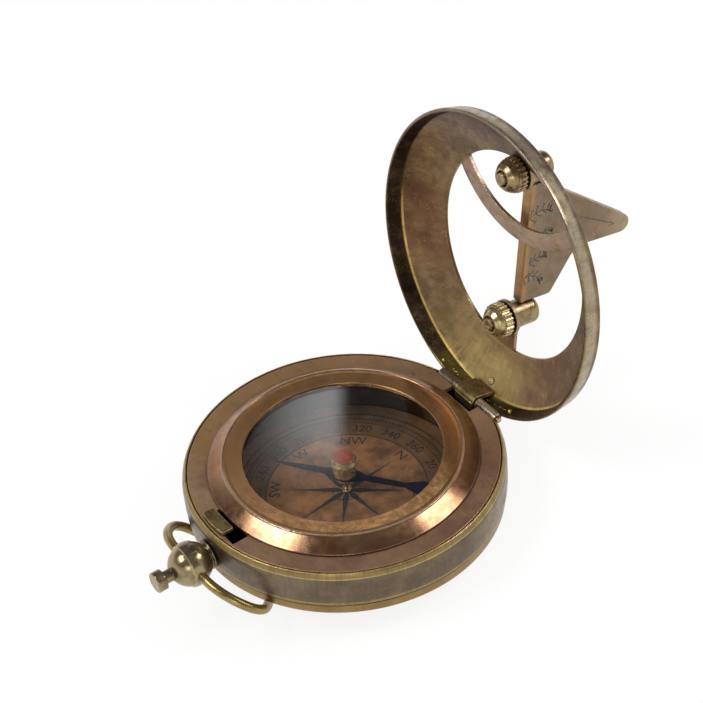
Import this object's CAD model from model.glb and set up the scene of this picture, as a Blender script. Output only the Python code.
"""A pocket sundial compass: the looks of its turned, cut, printed and engraved pieces.
Lengths in the functions below are in millimetres and become metres where a mesh is made."""

import math
import random

import bmesh
import bpy
from mathutils import Matrix, Vector


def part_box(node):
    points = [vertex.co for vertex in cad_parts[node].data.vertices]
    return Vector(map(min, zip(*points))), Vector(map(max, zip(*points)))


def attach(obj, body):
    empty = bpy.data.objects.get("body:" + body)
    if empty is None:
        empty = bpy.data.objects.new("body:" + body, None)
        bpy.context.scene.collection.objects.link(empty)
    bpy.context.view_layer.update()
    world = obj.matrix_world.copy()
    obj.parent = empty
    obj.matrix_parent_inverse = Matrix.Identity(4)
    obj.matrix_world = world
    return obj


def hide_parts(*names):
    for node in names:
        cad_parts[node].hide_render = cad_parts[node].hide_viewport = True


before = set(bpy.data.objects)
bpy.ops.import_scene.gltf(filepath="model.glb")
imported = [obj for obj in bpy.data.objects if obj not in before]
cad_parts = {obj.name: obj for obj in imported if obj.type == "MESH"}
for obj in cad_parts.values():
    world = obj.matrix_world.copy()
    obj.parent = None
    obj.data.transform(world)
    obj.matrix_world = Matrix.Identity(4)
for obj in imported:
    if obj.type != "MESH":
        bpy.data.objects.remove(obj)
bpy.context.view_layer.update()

bl_info = {
    "name": "Pocket sundial compass",
    "version": (1, 0, 0),
    "blender": (4, 5, 0),
    "location": "3D View > Sidebar > Compass",
    "description": "Dresses a pocket sundial compass in aged brass, copper, glass and print",
    "category": "Object",
}

MM = 0.001


def span(node):
    """A CAD node's lowest and highest corners in millimetres."""
    low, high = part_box(node)
    return low / MM, high / MM


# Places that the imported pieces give
BAND_LOW, BAND_HIGH = span("case_band")
COVER_HIGH = span("back_cover")[1]
DECK_LOW, DECK_HIGH = span("deck_plate")
BEZEL_LOW, BEZEL_HIGH = span("bezel")
GLASS_LOW, GLASS_HIGH = span("crystal")
DIAL_LOW, DIAL_HIGH = span("dial_plate")
BLADE_LOW, BLADE_HIGH = span("needle_blade")
HUB_LOW, HUB_HIGH = span("needle_hub")
CAP_LOW, CAP_HIGH = span("hub_cap")
TUBE_LEFT = span("hinge_tube_left")
TUBE_RIGHT = span("hinge_tube_right")
PIN_LOW, PIN_HIGH = span("hinge_pin")
STEM_LOW, STEM_HIGH = span("push_stem")
PENDANT_LOW, PENDANT_HIGH = span("pendant")

CASE_R = BAND_HIGH.x
SEAM = BAND_LOW.z
DECK_TOP = DECK_HIGH.z
SKIRT_R = BEZEL_HIGH.x - 1.21
GLASS_R = GLASS_HIGH.x
DIAL_TOP = DIAL_HIGH.z
HINGE_Y = (PIN_LOW.y + PIN_HIGH.y) / 2
HINGE_Z = (PIN_LOW.z + PIN_HIGH.z) / 2
BALL_R = PENDANT_HIGH.x
BALL_Y = -PENDANT_LOW.y - BALL_R
BALL_Z = (PENDANT_LOW.z + PENDANT_HIGH.z) / 2

# The lid's own sizes. Heights are above the hinge axis, in the closed lid's place.
OPEN_ANGLE = math.radians(97.8)
LID_R = CASE_R - 0.2
LID_LOW = 0.52
SHEET = 0.6
SHOULDER_R = LID_R - 0.47
SHOULDER_H = 3.5
CORNER_R = SHOULDER_R - 0.54
CORNER_H = SHOULDER_H - 0.53
WINDOW_R = SHOULDER_R - 7.64
WINDOW_H = 7.08
DOME = 0.35
BAR_R = 18.7
BAR_W = 2.7
BAR_Y = -WINDOW_R - 5.51
POST_UP = WINDOW_R - 1.89
POST_DOWN = WINDOW_R - 5.09
AXIS_H = WINDOW_H + 2.22
HEAD_TOP = AXIS_H + 2.7
NUT_TOP = WINDOW_H - SHEET - 0.15
NUT_H = 2.6
NUT_R = 2.8
BOSS_H = 0.5
TANG_R = 0.6
CUT_X = 0.7
CUT_HALF = 8.4
CUT_H = 1.75

# Edges that turn by more than this stay sharp
SHARP = math.radians(32)

# How far the dial, the needle and the folded bow are turned, in degrees
DIAL_TURN = 5
NEEDLE_TURN = 36
BOW_TURN = -38.5

ROOT = Matrix.Identity(4)
LID = (
    Matrix.Translation((0, HINGE_Y, HINGE_Z))
    @ Matrix.Rotation(-OPEN_ANGLE, 4, "X")
    @ Matrix.Translation((0, -HINGE_Y, 0))
)
PENDANT_AXIS = Matrix.Translation((0, 0, BALL_Z)) @ Matrix.Rotation(math.pi / 2, 4, "X")


def srgb(code):
    """A hex colour as linear red, green, blue and alpha."""
    channels = [int(code[k:k + 2], 16) / 255 for k in (1, 3, 5)]
    return tuple(c / 12.92 if c <= 0.04045 else ((c + 0.055) / 1.055) ** 2.4 for c in channels) + (1,)


def per_mm(size):
    """Texture scale, per metre, of a pattern whose features are this many millimetres wide."""
    return 1 / (size * MM)


def add(tree, kind, sockets=None, **settings):
    """Adds a node with its settings, and gives its sockets their values or links."""
    node = tree.nodes.new(kind)
    for key, value in settings.items():
        setattr(node, key, value)
    for key, value in (sockets or {}).items():
        if isinstance(value, bpy.types.NodeSocket):
            tree.links.new(value, node.inputs[key])
        else:
            node.inputs[key].default_value = value
    return node


class CompassColours(bpy.types.PropertyGroup):
    """Base colours of the finishes."""

    def colour(name, about, code):
        """One colour's property, from its hex value."""
        return bpy.props.FloatVectorProperty(
            name=name, description=about, default=srgb(code), size=4, min=0, max=1, subtype="COLOR"
        )

    band: colour("Band brass", "Satin brass of the case's wall", "#7c6a56")
    cover: colour("Cover brass", "Handled brass of the back cover", "#94794f")
    deck: colour("Deck copper", "Brown copper of the deck plate", "#ac8c6c")
    bezel: colour("Bezel copper", "Polished copper of the bezel", "#b28a66")
    lid: colour("Lid brass", "Bronzed brass of the lid", "#87704f")
    gnomon: colour("Gnomon brass", "Pale brass of the gnomon", "#86735c")
    post: colour("Post brass", "Dull brass of the gnomon's posts", "#a18a66")
    nut: colour("Bright brass", "Bright brass of the nuts, pin and hub", "#c4ae7e")
    bow: colour("Bow brass", "Golden brass of the bow", "#a18a56")
    pendant: colour("Pendant brass", "Olive brass of the pendant", "#a08e6c")
    strap: colour("Strap brass", "Olive brass of the knuckle's strap and the catch", "#9d8758")
    worn: colour("Worn brass", "Bare brass where the finish is rubbed through", "#c9a860")
    dial: colour("Dial copper", "Copper lacquer of the dial", "#a5744a")
    ink: colour("Dial ink", "Ink of the dial's scale", "#17130f")
    star: colour("Star ink", "Blue-green ink of the star and letters", "#182322")
    needle: colour("Blued steel", "Tempered blue of the needle", "#1f2547")
    cap: colour("Cap enamel", "Red of the hub's cap", "#76301f")


class CompassSizes(bpy.types.PropertyGroup):
    """Sizes of what the looks add to the construction."""

    turn_steps: bpy.props.IntProperty(
        name="Turning steps", description="Flats round each large turned piece", default=256, min=48
    )
    degree_marks: bpy.props.IntProperty(
        name="Degree marks", description="Short marks round the dial's scale", default=180, min=36
    )
    number_step: bpy.props.IntProperty(
        name="Degrees between numbers", description="Spacing of the dial's numbers", default=20, min=10
    )
    scale_in: bpy.props.FloatProperty(
        name="Scale's inner radius", description="Line inside the numbers", default=12.6 * MM,
        unit="LENGTH"
    )
    scale_mid: bpy.props.FloatProperty(
        name="Scale's middle radius", description="Line between numbers and marks",
        default=15.4 * MM, unit="LENGTH"
    )
    scale_out: bpy.props.FloatProperty(
        name="Scale's outer radius", description="Line outside the marks", default=16.4 * MM,
        unit="LENGTH"
    )
    star_reach: bpy.props.FloatProperty(
        name="Star's reach", description="Length of the star's points", default=9.5 * MM,
        unit="LENGTH"
    )
    nut_ribs: bpy.props.IntProperty(
        name="Ribs on a nut", description="Ribs round each thumb nut", default=22, min=12
    )
    lens: bpy.props.FloatProperty(
        name="Lens", description="Focal length on a 36 mm sensor", default=117.78, unit="CAMERA"
    )


def sizes():
    """The sizes that a user may change."""
    return bpy.context.scene.compass_sizes


def colours():
    """The colours that a user may change."""
    return bpy.context.scene.compass_colours


# Meshes

def rounded(corners, steps=5):
    """Closed outline with an arc at each corner that is given as (x, y, radius)."""
    points = []
    for k, corner in enumerate(corners):
        b = Vector(corner[:2])
        if len(corner) < 3:
            points.append(b)
            continue
        u = (Vector(corners[k - 1][:2]) - b).normalized()
        v = (Vector(corners[(k + 1) % len(corners)][:2]) - b).normalized()
        half = u.angle(v) / 2
        centre = b + (u + v).normalized() * corner[2] / math.sin(half)
        start = b + u * corner[2] / math.tan(half) - centre
        end = b + v * corner[2] / math.tan(half) - centre
        first = math.atan2(start.y, start.x)
        sweep = (math.atan2(end.y, end.x) - first + 3 * math.pi) % math.tau - math.pi
        for step in range(steps + 1):
            angle = first + sweep * step / steps
            points.append(centre + corner[2] * Vector((math.cos(angle), math.sin(angle))))
    return points


def arch(start, end, rise, steps=12):
    """Points of a shallow arch from start to end that rises by rise at its middle."""
    start, end = Vector(start), Vector(end)
    across = Vector(((end - start).y, -(end - start).x)).normalized()
    points = []
    for k in range(steps + 1):
        t = k / steps
        points.append(tuple(start + (end - start) * t + across * 4 * rise * t * (1 - t)))
    return points


def made(name, mesh, place=ROOT, sharp=SHARP):
    """An object at the origin from a bmesh in millimetres, smooth but for its sharp edges."""
    bmesh.ops.remove_doubles(mesh, verts=mesh.verts, dist=1e-5)
    mesh.transform(Matrix.Scale(MM, 4) @ place)
    bmesh.ops.recalc_face_normals(mesh, faces=mesh.faces)
    data = bpy.data.meshes.new(name)
    mesh.to_mesh(data)
    mesh.free()
    obj = bpy.data.objects.new(name, data)
    bpy.context.scene.collection.objects.link(obj)
    soften(obj, sharp)
    return obj


def soften(obj, sharp=SHARP):
    """Shades a mesh smooth and keeps the edges that turn by more than the angle."""
    data = obj.data
    mesh = bmesh.new()
    mesh.from_mesh(data)
    for face in mesh.faces:
        face.smooth = True
    for edge in mesh.edges:
        edge.smooth = len(edge.link_faces) == 2 and edge.calc_face_angle(0) < sharp
    mesh.to_mesh(data)
    mesh.free()


def turned(name, corners, place=ROOT, steps=None, sharp=SHARP):
    """A piece turned round Z from its closed outline of (radius, height) corners."""
    steps = steps or sizes().turn_steps
    mesh = bmesh.new()
    rings = []
    for radius, height in rounded(corners):
        if radius < 1e-6:
            rings.append([mesh.verts.new((0, 0, height))])
            continue
        turn = [math.tau * k / steps for k in range(steps)]
        rings.append([mesh.verts.new((radius * math.cos(a), radius * math.sin(a), height)) for a in turn])
    for ring, other in zip(rings, rings[1:] + rings[:1]):
        for k in range(steps):
            loop = [ring[k % len(ring)], ring[(k + 1) % len(ring)],
                    other[(k + 1) % len(other)], other[k % len(other)]]
            # A point on the axis counts once
            loop = list(dict.fromkeys(loop))
            if len(loop) > 2:
                mesh.faces.new(loop)
    return made(name, mesh, place, sharp)


def plate(name, outline, low, high, place=ROOT):
    """A flat piece: an outline in the plane of X and Y, raised from one height to another."""
    mesh = bmesh.new()
    bottom = [mesh.verts.new((x, y, low)) for x, y in outline]
    top = [mesh.verts.new((x, y, high)) for x, y in outline]
    mesh.faces.new(bottom[::-1])
    mesh.faces.new(top)
    for k in range(len(outline)):
        j = (k + 1) % len(outline)
        mesh.faces.new((bottom[k], bottom[j], top[j], top[k]))
    return made(name, mesh, place)


def block(name, low, high, place=ROOT):
    """A box between two corners, used as a cutter."""
    return plate(name, [(low[0], low[1]), (high[0], low[1]), (high[0], high[1]), (low[0], high[1])],
                 low[2], high[2], place)


def rod(name, start, end, radius, steps=64):
    """A cylinder between two points, used as a cutter."""
    start, end = Vector(start), Vector(end)
    along = end - start
    place = Matrix.Translation(start) @ along.to_track_quat("Z", "Y").to_matrix().to_4x4()
    return turned(name, [(0, 0), (radius, 0), (radius, along.length), (0, along.length)], place, steps)


def baked(obj):
    """Turns a piece's modifiers into its plain mesh."""
    bpy.context.view_layer.update()
    result = obj.evaluated_get(bpy.context.evaluated_depsgraph_get())
    data = bpy.data.meshes.new_from_object(result)
    obj.modifiers.clear()
    obj.data = data
    return obj


def worked(obj, operation, tools):
    """Joins the tools' shapes to a piece, or cuts them out of it."""
    for tool in tools:
        step = obj.modifiers.new(operation, "BOOLEAN")
        step.operation = operation
        step.solver = "EXACT"
        step.object = tool
    baked(obj)
    for tool in tools:
        bpy.data.objects.remove(tool)
    soften(obj)
    return obj


def bevelled(obj, width, segments=2):
    """Breaks the sharp edges of a cut piece."""
    step = obj.modifiers.new("edges", "BEVEL")
    step.width = width * MM
    step.segments = segments
    step.limit_method = "ANGLE"
    step.angle_limit = math.radians(40)
    baked(obj)
    soften(obj)
    return obj


def joined(name, parts):
    """One object from several."""
    mesh = bmesh.new()
    for part in parts:
        mesh.from_mesh(part.data)
        bpy.data.objects.remove(part)
    data = bpy.data.meshes.new(name)
    mesh.to_mesh(data)
    mesh.free()
    obj = bpy.data.objects.new(name, data)
    bpy.context.scene.collection.objects.link(obj)
    return obj


def skinned(mesh, rings):
    """Faces between each ring of points and the next, and one over each end."""
    for ring, other in zip(rings, rings[1:]):
        for j in range(len(ring)):
            k = (j + 1) % len(ring)
            mesh.faces.new((ring[j], ring[k], other[k], other[j]))
    mesh.faces.new(rings[0][::-1])
    mesh.faces.new(rings[-1])


def wire(name, path, radius, place=ROOT, sides=24):
    """A round wire along a path of points, closed at both ends."""
    mesh = bmesh.new()
    rings = []
    side = Vector((0, 0, 1))
    for k, point in enumerate(path):
        along = (path[min(k + 1, len(path) - 1)] - path[max(k - 1, 0)]).normalized()
        out = along.cross(side).normalized()
        up = out.cross(along).normalized()
        rings.append([
            mesh.verts.new(point + radius * (math.cos(a) * out + math.sin(a) * up))
            for a in (math.tau * j / sides for j in range(sides))
        ])
    skinned(mesh, rings)
    return made(name, mesh, place)


def words(name, body, size, height, place):
    """Raised figures or letters of one line, centred on the origin of their place."""
    text = bpy.data.curves.new(name, "FONT")
    text.body = body
    text.size = size
    text.extrude = height / 2
    text.align_x = "CENTER"
    text.align_y = "CENTER"
    text.resolution_u = 3
    holder = bpy.data.objects.new(name, text)
    bpy.context.scene.collection.objects.link(holder)
    bpy.context.view_layer.update()
    data = bpy.data.meshes.new_from_object(holder.evaluated_get(bpy.context.evaluated_depsgraph_get()))
    bpy.data.objects.remove(holder)
    mesh = bmesh.new()
    mesh.from_mesh(data)
    return made(name, mesh, place)


# Patterns that repeat

def group(name, inputs):
    """A geometry tree with named inputs, and the sockets that give their values."""
    tree = bpy.data.node_groups.new(name, "GeometryNodeTree")
    for label, kind in inputs:
        tree.interface.new_socket(label, in_out="INPUT", socket_type=kind)
    tree.interface.new_socket("Geometry", in_out="OUTPUT", socket_type="NodeSocketGeometry")
    return tree, add(tree, "NodeGroupInput").outputs


def end_group(tree, instances, material):
    """Makes the instances real, gives them their material and ends the tree."""
    real = add(tree, "GeometryNodeRealizeInstances", {"Geometry": instances})
    painted = add(tree, "GeometryNodeSetMaterial", {"Geometry": real.outputs[0], "Material": material})
    add(tree, "NodeGroupOutput", {0: painted.outputs[0]})


def grown(name, tree, values, place=ROOT):
    """Runs a geometry tree with the values of its named inputs and keeps the result as a plain mesh."""
    obj = bpy.data.objects.new(name, bpy.data.meshes.new(name))
    bpy.context.scene.collection.objects.link(obj)
    step = obj.modifiers.new("pattern", "NODES")
    step.node_group = tree
    for item in tree.interface.items_tree:
        if item.in_out == "INPUT" and item.name in values:
            step[item.identifier] = values[item.name]
    baked(obj)
    obj.data.transform(Matrix.Scale(MM, 4) @ place @ Matrix.Scale(1 / MM, 4))
    return obj


def ring_tree(name, material):
    """Copies of one object round a circle, each turned to face outwards."""
    tree, inputs = group(name, [
        ("Count", "NodeSocketInt"), ("Radius", "NodeSocketFloat"), ("Item", "NodeSocketObject"),
    ])
    circle = add(tree, "GeometryNodeMeshCircle", {"Vertices": inputs["Count"], "Radius": inputs["Radius"]})
    item = add(tree, "GeometryNodeObjectInfo", {"Object": inputs["Item"]})
    index = add(tree, "GeometryNodeInputIndex")
    part = add(tree, "ShaderNodeMath", {0: index.outputs[0], 1: inputs["Count"]}, operation="DIVIDE")
    turn = add(tree, "ShaderNodeMath", {0: part.outputs[0], 1: math.tau}, operation="MULTIPLY")
    spin = add(tree, "ShaderNodeCombineXYZ", {"Z": turn.outputs[0]})
    copies = add(tree, "GeometryNodeInstanceOnPoints", {
        "Points": circle.outputs[0], "Instance": item.outputs["Geometry"], "Rotation": spin.outputs[0],
    })
    end_group(tree, copies.outputs[0], material)
    return tree


def line_tree(name, material):
    """Copies of one object along Z at an even pitch."""
    tree, inputs = group(name, [
        ("Count", "NodeSocketInt"), ("Pitch", "NodeSocketFloat"), ("Item", "NodeSocketObject"),
    ])
    step = add(tree, "ShaderNodeCombineXYZ", {"Z": inputs["Pitch"]})
    line = add(tree, "GeometryNodeMeshLine", {"Count": inputs["Count"], "Offset": step.outputs[0]})
    item = add(tree, "GeometryNodeObjectInfo", {"Object": inputs["Item"]})
    copies = add(tree, "GeometryNodeInstanceOnPoints", {
        "Points": line.outputs[0], "Instance": item.outputs["Geometry"],
    })
    end_group(tree, copies.outputs[0], material)
    return tree


# Finishes

def blank(name):
    """A new material with its tree and its shader."""
    material = bpy.data.materials.new(name)
    material.use_nodes = True
    tree = material.node_tree
    return material, tree, tree.nodes["Principled BSDF"]


def centred(tree, axis):
    """Object coordinates, or those of the lid as it lies closed, or round the pendant's axis."""
    place = add(tree, "ShaderNodeTexCoord").outputs["Object"]
    if axis == "case":
        return place
    home = LID if axis == "lid" else PENDANT_AXIS
    return add(tree, "ShaderNodeMapping", {
        "Vector": place, "Location": home.to_translation() * MM, "Rotation": home.to_euler(),
    }, vector_type="TEXTURE").outputs[0]


def measured(tree, place):
    """A place without its height, and its measures: distance from the axis, height, x and y."""
    flat = add(tree, "ShaderNodeVectorMath", {0: place, 1: (1, 1, 0)}, operation="MULTIPLY").outputs[0]
    radius = add(tree, "ShaderNodeVectorMath", {0: flat}, operation="LENGTH").outputs["Value"]
    x, y, height = add(tree, "ShaderNodeSeparateXYZ", {0: place}).outputs
    return flat, {"radius": radius, "height": height, "x": x, "y": y}


def patches(tree, place, size, detail, rough, low, high, least=0.0, most=1.0):
    """Soft patches, this many millimetres wide, whose share rises from the least to the most."""
    spots = add(tree, "ShaderNodeTexNoise", {
        "Vector": place, "Scale": per_mm(size), "Detail": detail, "Roughness": rough,
    })
    return add(tree, "ShaderNodeMapRange", {
        "Value": spots.outputs[0], "From Min": low, "From Max": high, "To Min": least, "To Max": most,
    }, interpolation_type="SMOOTHSTEP").outputs[0]


def within(tree, measures, ramps, unit=MM):
    """The share of a surface inside all ramps. Each names a measure, the place where nothing
    shows and the place where everything does."""
    share = 1.0
    for measure, none, full in ramps:
        share = add(tree, "ShaderNodeMapRange", {
            "Value": measures[measure], "From Min": none * unit, "From Max": full * unit, "To Max": share,
        }, interpolation_type="SMOOTHSTEP").outputs[0]
    return share


def tinted(tree, colour, tint, share, *others):
    """Lays a tint over a colour, as strongly as its shares say when they are multiplied."""
    for other in others:
        share = add(tree, "ShaderNodeMath", {0: share, 1: other}, operation="MULTIPLY").outputs[0]
    return add(tree, "ShaderNodeMix", {0: share, 6: colour, 7: tint}, data_type="RGBA").outputs[2]


def aged_metal(name, base, tarnish, worn=None, axis="case", rough=0.3, cloud=5.0, patch=0.6, rings=0.15,
               streaks=0.25, fan=0.0, scratches=0.25, flecks=0.12, edge=0.14, edge_share=0.8, dirt=0.85,
               dirt_reach=0.6, bump=0.2, metallic=0.88, zones=()):
    """Metal with cloudy tarnish, zones of other tints, turned rings, radial brushing, scratches,
    flecks of bare metal, rubbed edges and dirt in its corners. Each share says how strongly it shows."""
    tarnish = srgb(tarnish)
    worn = srgb(worn) if worn else colours().worn
    material, tree, shader = blank(name)
    place = centred(tree, axis)
    flat, measures = measured(tree, place)
    radius, height = measures["radius"], measures["height"]
    # Clouds of tarnish, millimetres wide
    colour = tinted(tree, base, tarnish, patches(tree, place, cloud, 5.0, 0.62, 0.38, 0.64, most=patch))
    # Tints of single zones, uneven at the scale of a fingertip's wear
    uneven = patches(tree, place, 2.2, 4.0, 0.6, 0.3, 0.55, 0.55, 1.0)
    for tint, share, *ramps in zones:
        colour = tinted(tree, colour, srgb(tint), within(tree, measures, ramps), uneven, share)
    # Rings left by the turning tool, drawn wider than the real ones so that they show
    polar = add(tree, "ShaderNodeCombineXYZ", {"X": radius, "Y": height}).outputs[0]
    ring = add(tree, "ShaderNodeTexNoise", {
        "Vector": polar, "Scale": per_mm(0.22), "Detail": 2.0, "Roughness": 0.6,
    }).outputs[0]
    crest = add(tree, "ShaderNodeMapRange", {"Value": ring, "From Min": 0.45, "From Max": 0.75},
                interpolation_type="SMOOTHSTEP").outputs[0]
    broken = patches(tree, place, 3.0, 2.0, 0.55, 0.4, 0.65)
    colour = tinted(tree, colour, worn, crest, broken, rings)
    # Brushing that runs out from the axis, from the direction round it and a little of the radius
    around = add(tree, "ShaderNodeVectorMath", {0: flat}, operation="NORMALIZE").outputs[0]
    rim = add(tree, "ShaderNodeVectorMath", {0: around, "Scale": 24 * MM}, operation="SCALE").outputs[0]
    climb = add(tree, "ShaderNodeMath", {0: radius, 1: height}, operation="ADD").outputs[0]
    slow = add(tree, "ShaderNodeMath", {0: climb, 1: 0.12}, operation="MULTIPLY").outputs[0]
    drift = add(tree, "ShaderNodeCombineXYZ", {"Z": slow}).outputs[0]
    spoke = add(tree, "ShaderNodeVectorMath", {0: rim, 1: drift}, operation="ADD").outputs[0]
    brushed = patches(tree, spoke, 0.38, 5.0, 0.75, 0.4, 0.68, most=fan)
    colour = tinted(tree, colour, tarnish, brushed)
    # Long, uneven streaks of polishing
    stretched = add(tree, "ShaderNodeMapping", {
        "Vector": place, "Rotation": (0.5, 0.35, 0.9), "Scale": (0.2, 1, 1),
    }).outputs[0]
    colour = tinted(tree, colour, tarnish, patches(tree, stretched, 0.9, 4.0, 0.65, 0.5, 0.75, most=streaks))
    # A few fine scratches in three directions, only in places
    marks = 0.0
    for k, turn in enumerate(((0.2, 0.7, 0.4), (0.9, -0.3, 2.1), (-0.5, 0.4, 1.2))):
        line = add(tree, "ShaderNodeMapping", {
            "Vector": place, "Location": (0.013 * k, 0.007, 0), "Rotation": turn, "Scale": (0.07, 1, 1),
        }).outputs[0]
        cut = patches(tree, line, 0.17, 0.0, 0.55, 0.72, 0.78)
        marks = add(tree, "ShaderNodeMath", {0: marks, 1: cut}, operation="MAXIMUM").outputs[0]
    marks = patches(tree, place, 2.6, 2.0, 0.55, 0.5, 0.66, most=marks)
    colour = tinted(tree, colour, worn, marks, scratches)
    # Flecks where the finish is rubbed through, and dark specks
    colour = tinted(tree, colour, worn, patches(tree, place, 0.5, 5.0, 0.72, 0.58, 0.72, most=flecks))
    specks = patches(tree, place, 0.32, 2.0, 0.6, 0.7, 0.76, most=0.4)
    colour = tinted(tree, colour, srgb("#241a12"), specks)
    # Edges rubbed bright: where the normal turns within a short reach, in patches
    soft = add(tree, "ShaderNodeBevel", {"Radius": edge * MM}, samples=4).outputs[0]
    normal = add(tree, "ShaderNodeNewGeometry").outputs["Normal"]
    facing = add(tree, "ShaderNodeVectorMath", {0: soft, 1: normal}, operation="DOT_PRODUCT")
    rub = add(tree, "ShaderNodeMapRange", {
        "Value": facing.outputs["Value"], "From Min": 0.995, "From Max": 0.9, "To Max": edge_share,
    }, interpolation_type="SMOOTHSTEP").outputs[0]
    patchy = patches(tree, place, 1.1, 3.0, 0.6, 0.32, 0.5, 0.35, 1.0)
    colour = tinted(tree, colour, worn, rub, patchy)
    # Dirt left in corners
    shade = add(tree, "ShaderNodeAmbientOcclusion", {"Distance": dirt_reach * MM}, samples=6)
    grime = add(tree, "ShaderNodeMapRange", {
        "Value": shade.outputs["AO"], "From Min": 0.8, "From Max": 0.3, "To Max": dirt,
    }, interpolation_type="SMOOTHSTEP").outputs[0]
    colour = tinted(tree, colour, srgb("#120c08"), grime)
    tree.links.new(colour, shader.inputs["Base Color"])
    shader.inputs["Metallic"].default_value = metallic
    dull = patches(tree, place, 1.2, 5.0, 0.65, 0.3, 0.7, rough * 0.75, rough * 1.35)
    tree.links.new(dull, shader.inputs["Roughness"])
    relief = add(tree, "ShaderNodeMath", {0: ring, 1: marks}, operation="SUBTRACT").outputs[0]
    grain = add(tree, "ShaderNodeMath", {0: relief, 1: brushed}, operation="ADD").outputs[0]
    bumped = add(tree, "ShaderNodeBump", {
        "Strength": bump, "Distance": 0.02 * MM, "Height": grain, "Normal": soft,
    }).outputs[0]
    tree.links.new(bumped, shader.inputs["Normal"])
    return material


def satin_brass():
    """Antique brass, turned and lacquered satin: a quiet grey brown, with a lip rubbed golden."""
    lip = BAND_HIGH.z
    return aged_metal(
        "satin_antique_brass", colours().band, "#4d4032", rough=0.33, cloud=8, rings=0.1, fan=0.3,
        flecks=0.1, edge=0.18, metallic=0.85, zones=(
            ("#957c46", 0.85, ("height", lip - 1.15, lip - 0.6)),
            ("#e0cd94", 0.7, ("height", lip - 0.1, lip - 0.04)),
            ("#d2c090", 0.6, ("height", lip - 0.98, lip - 0.88), ("height", lip - 0.72, lip - 0.82)),
            ("#1c140c", 0.85, ("radius", CASE_R - 0.66, CASE_R - 0.74)),
            ("#a98e58", 0.7, ("height", SEAM, SEAM + 0.05), ("height", SEAM + 0.8, SEAM + 0.45)),
            ("#140d08", 0.95, ("height", SEAM + 0.2, SEAM + 0.1)),
        ),
    )


def cover_brass():
    """Brass, spun and handled: the back is a warmer, lighter gold than the wall."""
    return aged_metal(
        "spun_handled_brass", colours().cover, "#6b5130", rough=0.3, cloud=6, rings=0.2, flecks=0.14,
        edge=0.15, zones=(("#140d08", 0.95, ("height", SEAM - 0.42, SEAM - 0.32)),),
    )


def deck_copper():
    """Copper-rich brass, pickled brown and brushed: mauve brown, more golden towards one side."""
    return aged_metal(
        "brushed_brown_copper", colours().deck, "#765443", "#d0a98c", rough=0.36, cloud=7, rings=0.12,
        scratches=0.45, flecks=0.06, edge_share=0.5, metallic=0.7, dirt_reach=0.45, zones=(
            ("#a9824f", 0.75, ("x", -8, -17), ("y", -21, -15)),
            ("#8a6454", 0.4, ("x", 2, 14)),
            ("#c0935a", 0.6, ("radius", CASE_R - 1.15, CASE_R - 1)),
        ),
    )


def polished_copper():
    """Copper, turned and polished: a dark cone with sharp, warm highlights and a golden inner slope."""
    crest = BEZEL_HIGH.x - 2.45
    return aged_metal(
        "polished_copper", colours().bezel, "#7c4a30", "#f0dcb4", rough=0.2, cloud=9, patch=0.55,
        rings=0.2, scratches=0.25, flecks=0.06, edge=0.12, edge_share=0.9, bump=0.08, metallic=0.9,
        zones=(
            ("#c09060", 0.85, ("radius", crest, crest - 0.2)),
            ("#fbeedd", 0.85, ("radius", crest - 0.1, crest), ("radius", crest + 0.16, crest + 0.06)),
            ("#6d4a3a", 0.5, ("radius", crest + 0.6, crest + 1.9)),
        ),
    )


def bronzed_lid():
    """Brass, pressed, bronzed and buffed: brown clouds brushed outwards, a dark inner wall,
    a pale outer wall and golden rims."""
    inner_wall = (
        ("radius", CORNER_R - 0.1, CORNER_R + 0.1), ("radius", LID_R - 0.4, LID_R - 0.5),
        ("height", -1, 0.6), ("height", CORNER_H + 0.3, CORNER_H),
    )
    return aged_metal(
        "bronzed_pressed_brass", colours().lid, "#4c382a", axis="lid", rough=0.33, cloud=4, patch=0.65,
        rings=0.05, streaks=0.4, fan=0.28, scratches=0.35, flecks=0.12, edge=0.16, edge_share=0.9,
        zones=(
            ("#7d6a66", 0.6, ("y", -11, -20)),
            ("#6a3f2c", 0.55, ("x", -8, -15), ("y", -6, 0), ("y", 14, 8)),
            ("#a88e5c", 0.6, ("y", 12, 20), ("x", -16, -9), ("x", 12, 6)),
            ("#8a6a54", 0.6, ("x", 6, 12), ("y", 4, 10)),
            ("#a88f7c", 0.75, ("radius", WINDOW_R, WINDOW_R - 0.6)),
            ("#241812", 0.92, ("radius", CORNER_R - 0.2, CORNER_R + 0.1), *inner_wall[1:]),
            ("#d2b25c", 0.9, ("radius", CORNER_R - 0.4, CORNER_R - 0.3),
             ("radius", CORNER_R, CORNER_R - 0.12), ("height", CORNER_H + 0.5, CORNER_H + 0.3),
             ("y", -4, 4)),
            ("#a8924c", 0.85, *inner_wall, ("y", 18, 21), ("x", -10, -8.5), ("x", -0.5, -2)),
            ("#bba46a", 0.55, ("x", -9, -4), ("x", 8, 3), ("y", 17, 20.5),
             ("radius", CORNER_R + 0.2, CORNER_R)),
            ("#b0a288", 0.85, ("radius", LID_R - 0.4, LID_R - 0.25), ("height", 0.4, 0.9),
             ("height", SHOULDER_H + 0.6, SHOULDER_H)),
        ),
    )


def gnomon_brass():
    """Brass plate, filed flat and waxed: pale mauve brown, golden along the hinge and at the tip."""
    return aged_metal(
        "filed_waxed_brass", colours().gnomon, "#6f5b4a", "#cfa866", axis="lid", rough=0.36, cloud=4,
        rings=0, scratches=0.4, flecks=0.12, edge=0.3, zones=(
            ("#a98050", 0.75, ("height", AXIS_H + 0.4, AXIS_H - 0.5)),
            ("#bca680", 0.8, ("height", AXIS_H + 12, AXIS_H + 24)),
        ),
    )


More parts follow.
